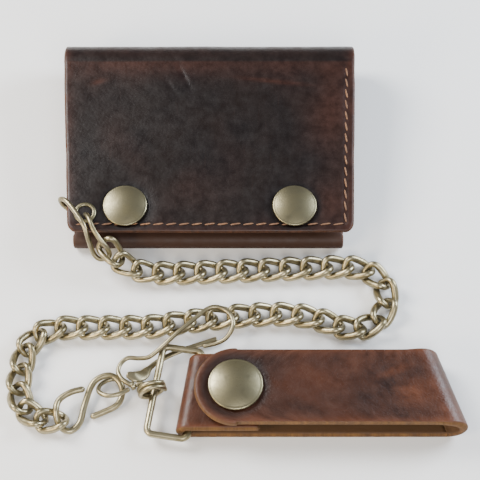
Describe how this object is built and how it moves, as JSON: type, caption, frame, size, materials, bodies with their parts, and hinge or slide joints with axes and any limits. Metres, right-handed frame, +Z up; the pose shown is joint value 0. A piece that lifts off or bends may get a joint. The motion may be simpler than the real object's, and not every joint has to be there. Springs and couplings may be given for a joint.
{
  "type": "chain wallet",
  "caption": "Bifold leather wallet with snap closure, a twisted curb chain from its eyelet, a spring clip and a snap belt loop.",
  "frame": {"origin": "middle of the closed wallet's outline, on the resting face of its back panel", "axes": "+Z up off the resting face, +Y towards the spine fold, +X to the wallet's right; the chain and belt loop lie towards -Y"},
  "size_m": [0.1571, 0.1576, 0.021],
  "materials": {
    "outer_leather": "worn satin, dark brown",
    "pocket_leather": "matt, brown",
    "strap_leather": "pebbled, chestnut",
    "nickel": "satin antique nickel"
  },
  "bodies": {
    "wallet": {"back_panel": "outer_leather", "bill_divider": "pocket_leather", "spine_fold": "outer_leather", "bottom_fold": "outer_leather"},
    "cover": {"cover_panel": "outer_leather", "cover_lining": "pocket_leather", "cover_caps": "nickel", "eyelet": "nickel"},
    "inner_flap": {"inner_panel": "outer_leather", "inner_pockets": "pocket_leather", "inner_studs": "nickel"},
    "connector": {"connector": "nickel"},
    "link_01": {"link_01": "nickel"},
    "link_02": {"link_02": "nickel"},
    "link_03": {"link_03": "nickel"},
    "link_04": {"link_04": "nickel"},
    "link_05": {"link_05": "nickel"},
    "link_06": {"link_06": "nickel"},
    "link_07": {"link_07": "nickel"},
    "link_08": {"link_08": "nickel"},
    "link_09": {"link_09": "nickel"},
    "link_10": {"link_10": "nickel"},
    "link_11": {"link_11": "nickel"},
    "link_12": {"link_12": "nickel"},
    "link_13": {"link_13": "nickel"},
    "link_14": {"link_14": "nickel"},
    "link_15": {"link_15": "nickel"},
    "link_16": {"link_16": "nickel"},
    "link_17": {"link_17": "nickel"},
    "link_18": {"link_18": "nickel"},
    "link_19": {"link_19": "nickel"},
    "link_20": {"link_20": "nickel"},
    "link_21": {"link_21": "nickel"},
    "link_22": {"link_22": "nickel"},
    "link_23": {"link_23": "nickel"},
    "link_24": {"link_24": "nickel"},
    "link_25": {"link_25": "nickel"},
    "link_26": {"link_26": "nickel"},
    "link_27": {"link_27": "nickel"},
    "link_28": {"link_28": "nickel"},
    "link_29": {"link_29": "nickel"},
    "link_30": {"link_30": "nickel"},
    "link_31": {"link_31": "nickel"},
    "link_32": {"link_32": "nickel"},
    "link_33": {"link_33": "nickel"},
    "link_34": {"link_34": "nickel"},
    "link_35": {"link_35": "nickel"},
    "link_36": {"link_36": "nickel"},
    "link_37": {"link_37": "nickel"},
    "link_38": {"link_38": "nickel"},
    "s_hook": {"s_hook": "nickel"},
    "clip": {"clip_frame": "nickel"},
    "clip_gate": {"clip_gate": "nickel"},
    "split_ring": {"split_ring": "nickel"},
    "rect_ring": {"rect_ring": "nickel"},
    "strap": {"strap_base": "strap_leather", "strap_stud": "nickel", "strap_fold": "strap_leather"},
    "strap_flap": {"strap_flap": "strap_leather", "strap_cap": "nickel"}
  },
  "joints": [
    {"name": "cover_hinge", "type": "hinge", "parent": "wallet", "child": "cover", "pos_m": [0, 0.031, 0.0105], "axis": [-1, 0, 0], "range_deg": [0, 170], "deforming": ["spine_fold"]},
    {"name": "inner_flap_hinge", "type": "hinge", "parent": "wallet", "child": "inner_flap", "pos_m": [0, -0.0376, 0.0033], "axis": [1, 0, 0], "range_deg": [0, 57], "deforming": ["bottom_fold"]},
    {"name": "strap_flap_hinge", "type": "hinge", "parent": "strap", "child": "strap_flap", "pos_m": [0.077, -0.0992, 0.0065], "axis": [-0.309, 0.9511, 0], "range_deg": [0, 100], "deforming": ["strap_fold"]},
    {"name": "strap_joint", "type": "hinge", "parent": "rect_ring", "child": "strap", "pos_m": [-0.0038, -0.0992, 0.00428], "axis": [-0.1564, -0.9877, 0], "range_deg": [0, 60]},
    {"name": "gate_hinge", "type": "hinge", "parent": "clip", "child": "clip_gate", "pos_m": [-0.0245, -0.0924, 0.0044], "axis": [0, 0, -1], "range_deg": [0, 4], "stiffness_Nm_per_rad": 0.002},
    {"name": "clip_joint", "type": "hinge", "parent": "s_hook", "child": "clip", "pos_m": [-0.0292, -0.097, 0.004], "axis": [0, 0, -1], "range_deg": [0, 6]},
    {"name": "split_ring_joint", "type": "hinge", "parent": "clip", "child": "split_ring", "pos_m": [-0.0215, -0.0966, 0.0047], "axis": [0, 0, -1], "range_deg": [0, 8]},
    {"name": "rect_ring_joint", "type": "hinge", "parent": "split_ring", "child": "rect_ring", "pos_m": [-0.01763, -0.09701, 0.00428], "axis": [-0.1564, -0.9877, 0], "range_deg": [0, 10]},
    {"name": "s_hook_joint", "type": "hinge", "parent": "link_38", "child": "s_hook", "pos_m": [-0.04862, -0.10814, 0.00297], "axis": [0, 0, -1], "range_deg": [-2, 2]},
    {"name": "connector_joint", "type": "hinge", "parent": "cover", "child": "connector", "pos_m": [-0.0441, -0.0328, 0.012], "axis": [0, 0, 1], "range_deg": [-2, 2]},
    {"name": "link_01_joint", "type": "hinge", "parent": "connector", "child": "link_01", "pos_m": [-0.0365, -0.0436, 0.0107], "axis": [0, 0, -1], "range_deg": [-2, 2]},
    {"name": "link_02_joint", "type": "hinge", "parent": "link_01", "child": "link_02", "pos_m": [-0.03201, -0.04859, 0.00713], "axis": [0, 0, 1], "range_deg": [-2, 2]},
    {"name": "link_03_joint", "type": "hinge", "parent": "link_02", "child": "link_03", "pos_m": [-0.02539, -0.051, 0.00429], "axis": [0, 0, -1], "range_deg": [-2, 2]},
    {"name": "link_04_joint", "type": "hinge", "parent": "link_03", "child": "link_04", "pos_m": [-0.01791, -0.05139, 0.00297], "axis": [0, 0, 1], "range_deg": [-2, 2]},
    {"name": "link_05_joint", "type": "hinge", "parent": "link_04", "child": "link_05", "pos_m": [-0.01031, -0.05139, 0.00297], "axis": [0, 0, -1], "range_deg": [-2, 2]},
    {"name": "link_06_joint", "type": "hinge", "parent": "link_05", "child": "link_06", "pos_m": [-0.00272, -0.05106, 0.00297], "axis": [0, 0, 1], "range_deg": [-3, 3]},
    {"name": "link_07_joint", "type": "hinge", "parent": "link_06", "child": "link_07", "pos_m": [0.00487, -0.05073, 0.00297], "axis": [0, 0, -1], "range_deg": [-4, 4]},
    {"name": "link_08_joint", "type": "hinge", "parent": "link_07", "child": "link_08", "pos_m": [0.01246, -0.05039, 0.00297], "axis": [0, 0, 1], "range_deg": [-5, 5]},
    {"name": "link_09_joint", "type": "hinge", "parent": "link_08", "child": "link_09", "pos_m": [0.02006, -0.05006, 0.00297], "axis": [0, 0, -1], "range_deg": [-6, 6]},
    {"name": "link_10_joint", "type": "hinge", "parent": "link_09", "child": "link_10", "pos_m": [0.02765, -0.04973, 0.00297], "axis": [0, 0, 1], "range_deg": [-7, 7]},
    {"name": "link_11_joint", "type": "hinge", "parent": "link_10", "child": "link_11", "pos_m": [0.03524, -0.0494, 0.00297], "axis": [0, 0, -1], "range_deg": [-8, 8]},
    {"name": "link_12_joint", "type": "hinge", "parent": "link_11", "child": "link_12", "pos_m": [0.04284, -0.04907, 0.00297], "axis": [0, 0, 1], "range_deg": [-10, 10]},
    {"name": "link_13_joint", "type": "hinge", "parent": "link_12", "child": "link_13", "pos_m": [0.05043, -0.04874, 0.00297], "axis": [0, 0, -1], "range_deg": [-10, 10]},
    {"name": "link_14_joint", "type": "hinge", "parent": "link_13", "child": "link_14", "pos_m": [0.05785, -0.05038, 0.00297], "axis": [0, 0, 1], "range_deg": [-6, 6]},
    {"name": "link_15_joint", "type": "hinge", "parent": "link_14", "child": "link_15", "pos_m": [0.06298, -0.05598, 0.00297], "axis": [0, 0, -1], "range_deg": [-6, 6]},
    {"name": "link_16_joint", "type": "hinge", "parent": "link_15", "child": "link_16", "pos_m": [0.06397, -0.06352, 0.00297], "axis": [0, 0, 1], "range_deg": [-6, 6]},
    {"name": "link_17_joint", "type": "hinge", "parent": "link_16", "child": "link_17", "pos_m": [0.06047, -0.07026, 0.00297], "axis": [0, 0, -1], "range_deg": [-6, 6]},
    {"name": "link_18_joint", "type": "hinge", "parent": "link_17", "child": "link_18", "pos_m": [0.05372, -0.07377, 0.00297], "axis": [0, 0, 1], "range_deg": [-6, 6]},
    {"name": "link_19_joint", "type": "hinge", "parent": "link_18", "child": "link_19", "pos_m": [0.04619, -0.07278, 0.00297], "axis": [0, 0, -1], "range_deg": [-10, 10]},
    {"name": "link_20_joint", "type": "hinge", "parent": "link_19", "child": "link_20", "pos_m": [0.03922, -0.06975, 0.00297], "axis": [0, 0, 1], "range_deg": [-10, 10]},
    {"name": "link_21_joint", "type": "hinge", "parent": "link_20", "child": "link_21", "pos_m": [0.03181, -0.06804, 0.00297], "axis": [0, 0, -1], "range_deg": [-10, 10]},
    {"name": "link_22_joint", "type": "hinge", "parent": "link_21", "child": "link_22", "pos_m": [0.02422, -0.06771, 0.00297], "axis": [0, 0, 1], "range_deg": [-12, 12]},
    {"name": "link_23_joint", "type": "hinge", "parent": "link_22", "child": "link_23", "pos_m": [0.01663, -0.06804, 0.00297], "axis": [0, 0, -1], "range_deg": [-10, 10]},
    {"name": "link_24_joint", "type": "hinge", "parent": "link_23", "child": "link_24", "pos_m": [0.00905, -0.06863, 0.00297], "axis": [0, 0, 1], "range_deg": [-8, 8]},
    {"name": "link_25_joint", "type": "hinge", "parent": "link_24", "child": "link_25", "pos_m": [0.0015, -0.06949, 0.00297], "axis": [0, 0, -1], "range_deg": [-6, 6]},
    {"name": "link_26_joint", "type": "hinge", "parent": "link_25", "child": "link_26", "pos_m": [-0.00602, -0.07062, 0.00297], "axis": [0, 0, 1], "range_deg": [-6, 6]},
    {"name": "link_27_joint", "type": "hinge", "parent": "link_26", "child": "link_27", "pos_m": [-0.01353, -0.07174, 0.00297], "axis": [0, 0, -1], "range_deg": [-5, 5]},
    {"name": "link_28_joint", "type": "hinge", "parent": "link_27", "child": "link_28", "pos_m": [-0.02105, -0.07286, 0.00297], "axis": [0, 0, 1], "range_deg": [-4, 4]},
    {"name": "link_29_joint", "type": "hinge", "parent": "link_28", "child": "link_29", "pos_m": [-0.02865, -0.07293, 0.00297], "axis": [0, 0, -1], "range_deg": [-4, 4]},
    {"name": "link_30_joint", "type": "hinge", "parent": "link_29", "child": "link_30", "pos_m": [-0.03625, -0.073, 0.00297], "axis": [0, 0, 1], "range_deg": [-3, 3]},
    {"name": "link_31_joint", "type": "hinge", "parent": "link_30", "child": "link_31", "pos_m": [-0.04385, -0.07306, 0.00297], "axis": [0, 0, -1], "range_deg": [-2, 2]},
    {"name": "link_32_joint", "type": "hinge", "parent": "link_31", "child": "link_32", "pos_m": [-0.05145, -0.07313, 0.00297], "axis": [0, 0, 1], "range_deg": [-2, 2]},
    {"name": "link_33_joint", "type": "hinge", "parent": "link_32", "child": "link_33", "pos_m": [-0.05873, -0.07529, 0.00297], "axis": [0, 0, -1], "range_deg": [-2, 2]},
    {"name": "link_34_joint", "type": "hinge", "parent": "link_33", "child": "link_34", "pos_m": [-0.06336, -0.08132, 0.00297], "axis": [0, 0, 1], "range_deg": [-2, 2]},
    {"name": "link_35_joint", "type": "hinge", "parent": "link_34", "child": "link_35", "pos_m": [-0.06409, -0.08888, 0.00297], "axis": [0, 0, -1], "range_deg": [-2, 2]},
    {"name": "link_36_joint", "type": "hinge", "parent": "link_35", "child": "link_36", "pos_m": [-0.06482, -0.09645, 0.00297], "axis": [0, 0, 1], "range_deg": [-2, 2]},
    {"name": "link_37_joint", "type": "hinge", "parent": "link_36", "child": "link_37", "pos_m": [-0.06241, -0.10366, 0.00297], "axis": [0, 0, -1], "range_deg": [-2, 2]},
    {"name": "link_38_joint", "type": "hinge", "parent": "link_37", "child": "link_38", "pos_m": [-0.05622, -0.10807, 0.00297], "axis": [0, 0, 1], "range_deg": [-2, 2]}
  ],
  "couplings": [
    {"joint": "inner_flap_hinge", "follows": "cover_hinge", "ratio": 0.33}
  ]
}
